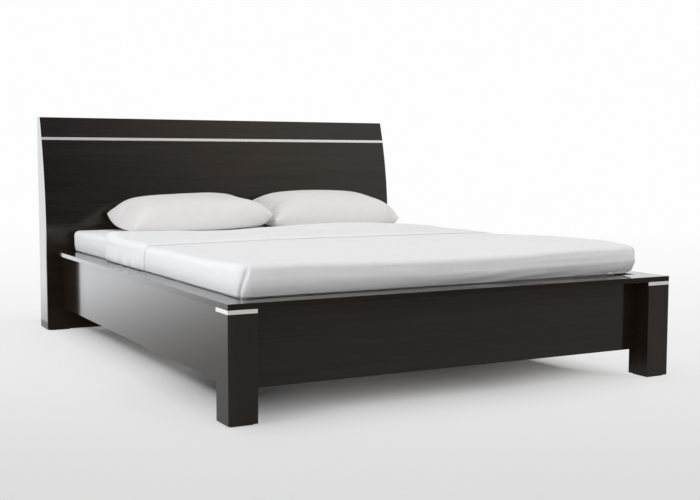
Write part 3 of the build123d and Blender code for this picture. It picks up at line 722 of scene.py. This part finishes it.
def turned_sheet():
    xs, zs = fine_at_ends(X_LOW, X_HIGH, *TOP_GRID), SIDE_ROWS
    band, fine, coarse = TOP_GRID
    foot_ys = spaced(Y_LOW, fine, Y_LOW + band, LENGTH_STEP, HEM_Y, TURNED_STEP, FOLD_Y)
    turned_ys = spaced(HEM_Y, TURNED_STEP, FOLD_Y)
    lower, lower_quads, lower_index = box_skin(xs, foot_ys, zs, tucked)
    upper, upper_quads, upper_index = box_skin(xs, turned_ys, zs, turned_down)
    lower_skin, upper_skin = Skin(lower), Skin(upper)
    lower_lift = TOP_LIFT + cloth_relief(lower_skin, CREASE_SEED) + foot_mitre(lower_skin)
    lower_points = lower_skin.lifted(np.maximum(lower_lift, LEAST_LIFT))
    upper_points = upper_skin.lifted(turned_lift(upper_skin))
    points = [*lower_points, *upper_points]
    quads = lower_quads + [tuple(len(lower_points) + n for n in quad) for quad in upper_quads]

    last_i, last_k = len(xs) - 1, len(zs) - 1
    under = TUCK + coarse / 2
    fold_line = [(i, 0) for i in range(last_i, -1, -1) if xs[i] <= X_LOW + under]
    fold_line += [(0, k) for k in range(1, last_k + 1)]
    fold_line += [(i, last_k) for i in range(1, last_i + 1)]
    fold_line += [(last_i, k) for k in range(last_k - 1, -1, -1)]
    fold_line += [(i, 0) for i in range(last_i - 1, -1, -1) if xs[i] >= X_HIGH - under]
    rows = []
    for i, k in fold_line:
        start = lower_index.get((i, len(foot_ys) - 1, k))
        end = upper_index.get((i, len(turned_ys) - 1, k))
        if start is None or end is None:
            continue
        first = len(points)
        points.extend(round_fold(lower_points[start], upper_points[end]))
        rows.append([start, *range(first, len(points)), len(lower_points) + end])
    for a, b in zip(rows, rows[1:]):
        quads.extend((a[n], b[n], b[n + 1], a[n + 1]) for n in range(FOLD_STEPS))
    return soft_piece("top_sheet_cloth", points, quads, SHEET_CLOTH, "mattress",
                      "top_sheet")


top_sheet = turned_sheet()


# Pillows: sewn bags blown up by cloth simulation, then set down on the sheet

BAG_LENGTH, BAG_DEPTH = 0.75, 0.47
BAG_HEIGHT, BAG_RISE = 0.1, 0.05   # where the flat bag starts, and how far its layers stand apart
CORNER_DRAW = 0.03   # share by which the corners are drawn in
HEM_LINES, HEM_END, LENGTH_LINES, DEPTH_LINES = 8, -0.87, 58, 41
HEM_STITCH, STITCH_SPREAD, STITCH_DEPTH = -0.915, 0.012, 0.0018
SIM_FRAMES = 40
EASE_ROUNDS, EASE_STEP, LEAST_EASE = 10, 0.6, 0.25
PILLOW_TILT = 0.026   # rise of the edge against the headboard
SHOULDER_AT, SHOULDER_SPREAD = 0.82, 0.22
TIP_SPREAD = 0.25
LANDING = 0.02   # height in which the underside flattens out on the sheet


def sewn_bag(seed):
    """A flat two-layer bag, sewn round its rim: points, faces and each point's place across the bag."""
    hem, rest = np.linspace(-1, HEM_END, HEM_LINES + 1), np.linspace(HEM_END, 1, LENGTH_LINES)[1:]
    us = np.concatenate([hem, rest])
    vs = np.linspace(-1, 1, DEPTH_LINES)
    points, faces, place, shares = [], [], {}, []
    last_u, last_v = len(us) - 1, len(vs) - 1
    for layer in (1, -1):
        for i, u in enumerate(us):
            for j, v in enumerate(vs):
                rim = i in (0, last_u) or j in (0, last_v)
                key = (i, j, 0 if rim else layer)
                if key in place:
                    continue
                place[key] = len(points)
                drawn_in = 1 - CORNER_DRAW * abs(u) ** 6 * abs(v) ** 6
                rise = BAG_RISE * (1 - u ** 4) * (1 - v ** 4) * layer
                points.append((u * BAG_LENGTH / 2 * drawn_in, v * BAG_DEPTH / 2 * drawn_in,
                               BAG_HEIGHT + rise))
                shares.append((u, v))
        for i in range(last_u):
            for j in range(last_v):
                ring = [(i, j), (i + 1, j), (i + 1, j + 1), (i, j + 1)]
                if layer < 0:
                    ring.reverse()
                faces.append([place.get(key + (layer,), place.get(key + (0,))) for key in ring])
    points = np.array(points)
    inner = np.abs(np.array(shares)).max(1) < 1
    points[:, 2] += np.where(inner, crease(points, depth=0.003, scale=9, seed=seed), 0.0)
    return points, faces, np.array(shares)


def blown_up(points, faces):
    """Where the points of a bag go when Cloth blows it up and lays it on a plane."""
    bag = new_object("bag", points, faces)
    table = new_object("table", [(-2, -2, 0), (2, -2, 0), (2, 2, 0), (-2, 2, 0)], [(0, 1, 2, 3)])
    table.modifiers.new("solid", "COLLISION")
    table.collision.thickness_outer = 0.004
    table.collision.cloth_friction = 20
    cloth = bag.modifiers.new("cloth", "CLOTH")
    s = cloth.settings
    s.quality = 6
    s.mass = 0.15
    s.tension_stiffness = s.compression_stiffness = 20
    s.shear_stiffness = 5
    s.bending_stiffness = 0.5
    s.tension_damping = s.compression_damping = s.shear_damping = 10
    s.air_damping = 2
    s.use_pressure = True
    s.uniform_pressure_force = 12
    s.effector_weights.gravity = 0.5
    cloth.collision_settings.distance_min = 0.004
    cloth.point_cache.frame_start, cloth.point_cache.frame_end = 1, SIM_FRAMES + 5
    for number in range(1, SIM_FRAMES + 1):
        scene.frame_set(number)
    graph = bpy.context.evaluated_depsgraph_get()
    moved = bag.evaluated_get(graph).to_mesh()
    result = np.array([v.co for v in moved.vertices])
    for item in (bag, table):
        bpy.data.objects.remove(item)
    scene.frame_set(1)
    return result


def eased(points, faces, weight):
    """Points drawn to the mean of their neighbours, as far as each one's weight says."""
    edges = {tuple(sorted(pair)) for face in faces for pair in zip(face, face[1:] + face[:1])}
    a, b = np.array(sorted(edges)).T
    count = np.bincount(np.concatenate([a, b]), minlength=len(points))[:, None]
    for _ in range(EASE_ROUNDS):
        total = np.zeros_like(points)
        np.add.at(total, a, points[b])
        np.add.at(total, b, points[a])
        points = points + weight[:, None] * (total / count - points) * EASE_STEP
    return points


def pillow(node_name, seed, hem_side, ends, top, lean, tip_rise, fullness, shoulder):
    """A pillow in its CAD box, whose ends and top move a little, leaned and drooped as photographed."""
    low, high = (np.array(c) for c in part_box(node_name))
    low[0], high[0], high[2] = low[0] + ends[0], high[0] + ends[1], high[2] + top
    points, faces, shares = sewn_bag(seed)
    points = blown_up(points, faces)
    points = eased(points, faces, np.clip(np.abs(shares).prod(1) ** 2 + LEAST_EASE, 0, 1))
    points = (points - points.min(0)) / np.ptp(points, axis=0)
    if hem_side > 0:
        points[:, 0] = 1 - points[:, 0]
        faces = [list(reversed(f)) for f in faces]
    rising = np.clip(points[:, 2] * 2 - 1, 0, 1)
    points[:, 2] += (1 - (1 - rising) ** fullness - rising) / 2
    across, along = points[:, 0] * 2 - 1, points[:, 1] * 2 - 1
    points[:, 2] += shoulder * rising * hump(across, SHOULDER_AT, SHOULDER_SPREAD)
    points[:, 0] += lean / 2 * (1 - across ** 2)
    placed = low + points * (high - low)
    off_rim = np.abs(shares[:, 1]) < 0.999
    stitched = STITCH_DEPTH * hump(shares[:, 0], HEM_STITCH, STITCH_SPREAD) * off_rim
    placed[:, 2] += np.where(placed[:, 2] > (low[2] + high[2]) / 2, -1, 1) * stitched
    tip = np.exp(-((across - 1) ** 2 + (along + 1) ** 2) / TIP_SPREAD)
    placed[:, 2] += PILLOW_TILT * along + tip_rise * tip
    drop = placed[:, 2] - low[2]
    landed = LANDING * np.exp(np.minimum(drop - LANDING, 0) / LANDING)
    placed[:, 2] = low[2] + np.where(drop < LANDING, landed, drop)
    case = soft_piece(node_name + "_case", placed, faces, PILLOW_CLOTH, node_name,
                      node_name)
    finer = case.modifiers.new("finer", "SUBSURF")
    finer.levels = finer.render_levels = 1
    apply_modifiers(case)
    shade_smooth(case)


pillow("pillow_left", seed=41, hem_side=-1, ends=(0.040, 0.012), top=-0.018, lean=-0.11, tip_rise=0.034,
       fullness=1.28, shoulder=0.05)
pillow("pillow_right", seed=43, hem_side=1, ends=(0.02, -0.017), top=-0.006, lean=0.30, tip_rise=0.022,
       fullness=1.0, shoulder=0.0)


# Floor

FLOOR_RADIUS, FLOOR_RINGS, FLOOR_SPOKES = 60.0, 12, 64
UNDER_BED = (0.365, 0.588)   # half sizes of the floor that stays in full shadow
SHADE_REACH = (1.0, 0.85)   # how fast the shadow ends beyond them, each way
SIDE_SHADE = ((0.0, 0.02), (0.3, 0.03), (0.345, 0.06), (0.395, 0.42), (0.44, 0.56), (0.5, 0.69),
              (0.57, 0.84), (1.0, 1.0))   # share of painted white light by distance, beside the bed; the rest is the paper's real shading
FRONT_SHADE = ((0.0, 0.02), (0.1, 0.03), (0.2, 0.08), (0.287, 0.165), (0.37, 0.33), (0.445, 0.52),
               (0.52, 0.65), (0.6, 0.76), (0.7, 0.9), (1.0, 1.0))   # and before it
RIGHT_SHIFT, RIGHT_STRETCH = 0.12, (0.2, 0.75)   # the shadow ends sooner towards the right leg
LEFT_SHIFT, LEFT_STRETCH = -0.06, (-0.72, -0.45)   # and later towards the left leg
BEHIND_LEG = (-0.66, -0.66, 0.0)   # centre of the painted shadow on the paper under the bed, where the shadow is deepest
LEG_REACH = (0.1, 0.5)
LEG_PAINTED_SHADE = ((0.0, 0.15), (0.5, 0.55), (1.0, 0.85))   # painted shadow: grey of the paper over that reach
PAPER_MOTTLE = 0.02
VIEW_ALONG = (0.474, 0.881, 0.0)   # the way the photograph looks, over the floor
FLOOR_DEPTHS = (-12.5, 7.5)   # along that way
# Painted light over the floor: grey values along that way, darker towards the front and white far off
PAINTED_FLOOR_TONES = ((0.0, 0.985), (0.2, 0.96), (0.34, 0.86), (0.43, 0.75), (0.5, 0.70), (0.525, 0.73),
               (0.59, 0.82), (0.65, 0.87), (0.705, 0.905), (0.825, 0.96), (1.0, 0.985))


def floor_finish():
    """White paper: shaded beside and under the bed, partly by a painted shadow; further out a painted
    glow, greyer towards the front, fades to the white of the background.
    """
    f = Finish("floor_paper_and_painted_light")
    f.tree.nodes.remove(f.shader)
    spread = f.node("VectorMath", {0: f.place}, operation="ABSOLUTE")
    beside, before = [f.range(f.part(spread, axis), 0.0, reach, half, half + 1.0, clamp=False)
                      for axis, half, reach in zip("XY", UNDER_BED, SHADE_REACH)]
    across = f.part(f.place, "X")
    to_right = f.range(across, 0.0, RIGHT_SHIFT, *RIGHT_STRETCH)
    to_left = f.range(across, LEFT_SHIFT, 0.0, *LEFT_STRETCH)
    beside = f.maths("ADD", beside, to_right)
    before = f.maths("ADD", before, f.maths("ADD", to_right, to_left))
    white = f.maths("MAXIMUM", f.grey_ramp(f.range(beside, 0.0, 1.0), SIDE_SHADE),
                    f.grey_ramp(f.range(before, 0.0, 1.0), FRONT_SHADE))
    rays = f.tree.nodes.new("ShaderNodeLightPath").outputs
    seen = f.maths("MAXIMUM", rays["Is Camera Ray"],
                   f.maths("MAXIMUM", rays["Is Glossy Ray"], rays["Is Transmission Ray"]))
    # Painted shadow: the paper's own grey darkens towards the left leg, on top of the real shading
    from_leg = f.node("VectorMath", {0: f.place, 1: BEHIND_LEG}, out="Value", operation="DISTANCE")
    mottle = f.range(f.noise(f.place, 3.0), -PAPER_MOTTLE, PAPER_MOTTLE)
    painted_shadow_grey = f.grey_ramp(f.range(f.maths("ADD", from_leg, mottle), 0.0, 1.0, *LEG_REACH), LEG_PAINTED_SHADE)
    paper = f.node("BsdfDiffuse", {"Color": painted_shadow_grey})
    depth = f.node("VectorMath", {0: f.place, 1: VIEW_ALONG}, out="Value", operation="DOT_PRODUCT")
    tone = f.grey_ramp(f.range(depth, 0.0, 1.0, *FLOOR_DEPTHS), PAINTED_FLOOR_TONES)
    # Painted light: camera and mirror rays see this glow instead of the paper's real shading, as far as
    # the white share says
    glow = f.node("Emission", {"Color": tone, "Strength": 1.0})
    f.end_with(f.node("MixShader", {0: f.maths("MULTIPLY", white, seen), 1: paper, 2: glow}),
               "Material Output")
    return f.material


def disc(name, radius, rings, around, finish):
    points = [(0, 0, 0)]
    faces = []
    for r in range(1, rings + 1):
        for a in range(around):
            swing, reach = 2 * math.pi * a / around, radius * r / rings
            points.append((reach * math.cos(swing), reach * math.sin(swing), 0))
    for a in range(around):
        faces.append((0, 1 + a, 1 + (a + 1) % around))
        for r in range(rings - 1):
            inner, outer = 1 + r * around, 1 + (r + 1) * around
            faces.append((inner + a, outer + a, outer + (a + 1) % around, inner + (a + 1) % around))
    return new_object(name, points, faces, finish)


floor = disc("floor", FLOOR_RADIUS, FLOOR_RINGS, FLOOR_SPOKES, floor_finish())


# Light: a painted studio, three softboxes and a card that only the lacquer mirrors

STUDIO_WHITE = (0.985, 0.985, 0.985)
FILL_STRENGTH = 0.55
ROOM_TURNS = (math.radians(10), math.radians(40))   # away from the front, where the room brightens
ROOM_COLOURS = ((0.12, (0.01, 0.06, 0.15)), (0.26, (0.26, 0.31, 0.40)), (0.42, (0.64, 0.62, 0.58)),
                (0.60, (0.95, 0.93, 0.87)), (0.75, STUDIO_WHITE))
CARD_SIDES = (-4.4, -0.98)
CARD_PROFILE = ((-0.9, 0.004), (4.6, 0.004), (5.1, 0.15), (5.3, 0.6), (5.35, 2.6))   # Y and Z
CARD_COLOUR = (0.95, 0.97, 1.0, 1)
CARD_GLOW, CARD_GLOW_REACH = 2.0, (-0.6, 3.4)


def painted_studio():
    """White for the camera, a soft fill for matt surfaces, and a room dark in front for mirror rays."""
    world = bpy.data.worlds.new("studio")
    scene.world = world
    world.use_nodes = True
    s = Nodes(world.node_tree)
    rays = s.tree.nodes.new("ShaderNodeLightPath").outputs
    direction = s.node("TexCoord", out="Generated")
    to_front = s.maths("MULTIPLY", s.part(direction, "Y"), -1.0)
    swing = s.maths("ABSOLUTE", s.maths("ARCTAN2", s.part(direction, "X"), to_front))
    room = s.ramp(s.range(swing, 0.0, 1.0, *ROOM_TURNS), *ROOM_COLOURS)
    fill_light = s.node("Background", {"Color": (*STUDIO_WHITE, 1), "Strength": FILL_STRENGTH})
    mirrored_room = s.node("Background", {"Color": room, "Strength": 1.0})
    backdrop = s.node("Background", {"Color": (*STUDIO_WHITE, 1), "Strength": 1.0})
    seen = s.maths("MAXIMUM", rays["Is Camera Ray"], rays["Is Transmission Ray"])
    lit = s.node("MixShader", {0: rays["Is Glossy Ray"], 1: fill_light, 2: mirrored_room})
    s.end_with(s.node("MixShader", {0: seen, 1: lit, 2: backdrop}), "World Output")


def softbox(name, at, aim, size, power, colour):
    light = bpy.data.lights.new(name, "AREA")
    light.shape = "RECTANGLE"
    light.size, light.size_y = size
    light.energy = power
    light.color = colour
    lamp = bpy.data.objects.new(name, light)
    lamp.location = at
    lamp.rotation_mode = "QUATERNION"
    lamp.rotation_quaternion = (Vector(aim) - Vector(at)).to_track_quat("-Z", "Y")
    lamp.visible_camera = False
    lamp.visible_glossy = False
    scene.collection.objects.link(lamp)


def reflector():
    """A glowing card lying left of the bed and standing up behind it, which the lacquer mirrors."""
    f = Finish("reflector_glow")
    f.tree.nodes.remove(f.shader)
    strength = f.range(f.part(f.place, "Y"), 0.0, CARD_GLOW, *CARD_GLOW_REACH,
                       interpolation_type="SMOOTHSTEP")
    glow = f.node("Emission", {"Color": CARD_COLOUR, "Strength": strength})
    f.end_with(f.node("AddShader", {0: f.node("BsdfTransparent"), 1: glow}), "Material Output")
    points = [(x, y, z) for y, z in CARD_PROFILE for x in CARD_SIDES]
    faces = [(2 * i, 2 * i + 1, 2 * i + 3, 2 * i + 2) for i in range(len(CARD_PROFILE) - 1)]
    card = new_object("reflector", points, faces, f.material)
    card.visible_camera = False
    card.visible_diffuse = False
    card.visible_shadow = False


painted_studio()
softbox("key_above", (0.1, -0.2, 3.6), (0, 0.0, 0.4), (4.2, 4.2), 56, (1.0, 0.995, 0.985))
softbox("left_side", (-4.2, -1.0, 0.8), (0, -0.3, 0.4), (3.2, 1.0), 64, (0.93, 0.965, 1.0))
softbox("front_right", (3.2, -4.6, 2.1), (0, 0.0, 0.4), (2.8, 3.6), 36, (1.0, 0.95, 0.91))
reflector()


# Camera, as solved from the photograph

CAMERA_AT = (-2.14558, -4.26303, 0.82579)
CAMERA_YAW, CAMERA_PITCH, CAMERA_ROLL = (math.radians(a) for a in (-28.279, -4.802, -0.139))
LENS, SENSOR = 57.45, 36.0
turned = (Matrix.Rotation(CAMERA_YAW, 3, "Z") @ Matrix.Rotation(CAMERA_PITCH, 3, "X")
          @ Matrix.Rotation(CAMERA_ROLL, 3, "Y"))
right, forward, up = turned.col
camera = bpy.data.objects.new("camera", bpy.data.cameras.new("camera"))
camera.data.lens = LENS
camera.data.sensor_width = SENSOR
camera.matrix_world = Matrix.Translation(CAMERA_AT) @ Matrix((right, up, -forward)).transposed().to_4x4()
scene.collection.objects.link(camera)
scene.camera = camera
scene.view_settings.view_transform = "Standard"
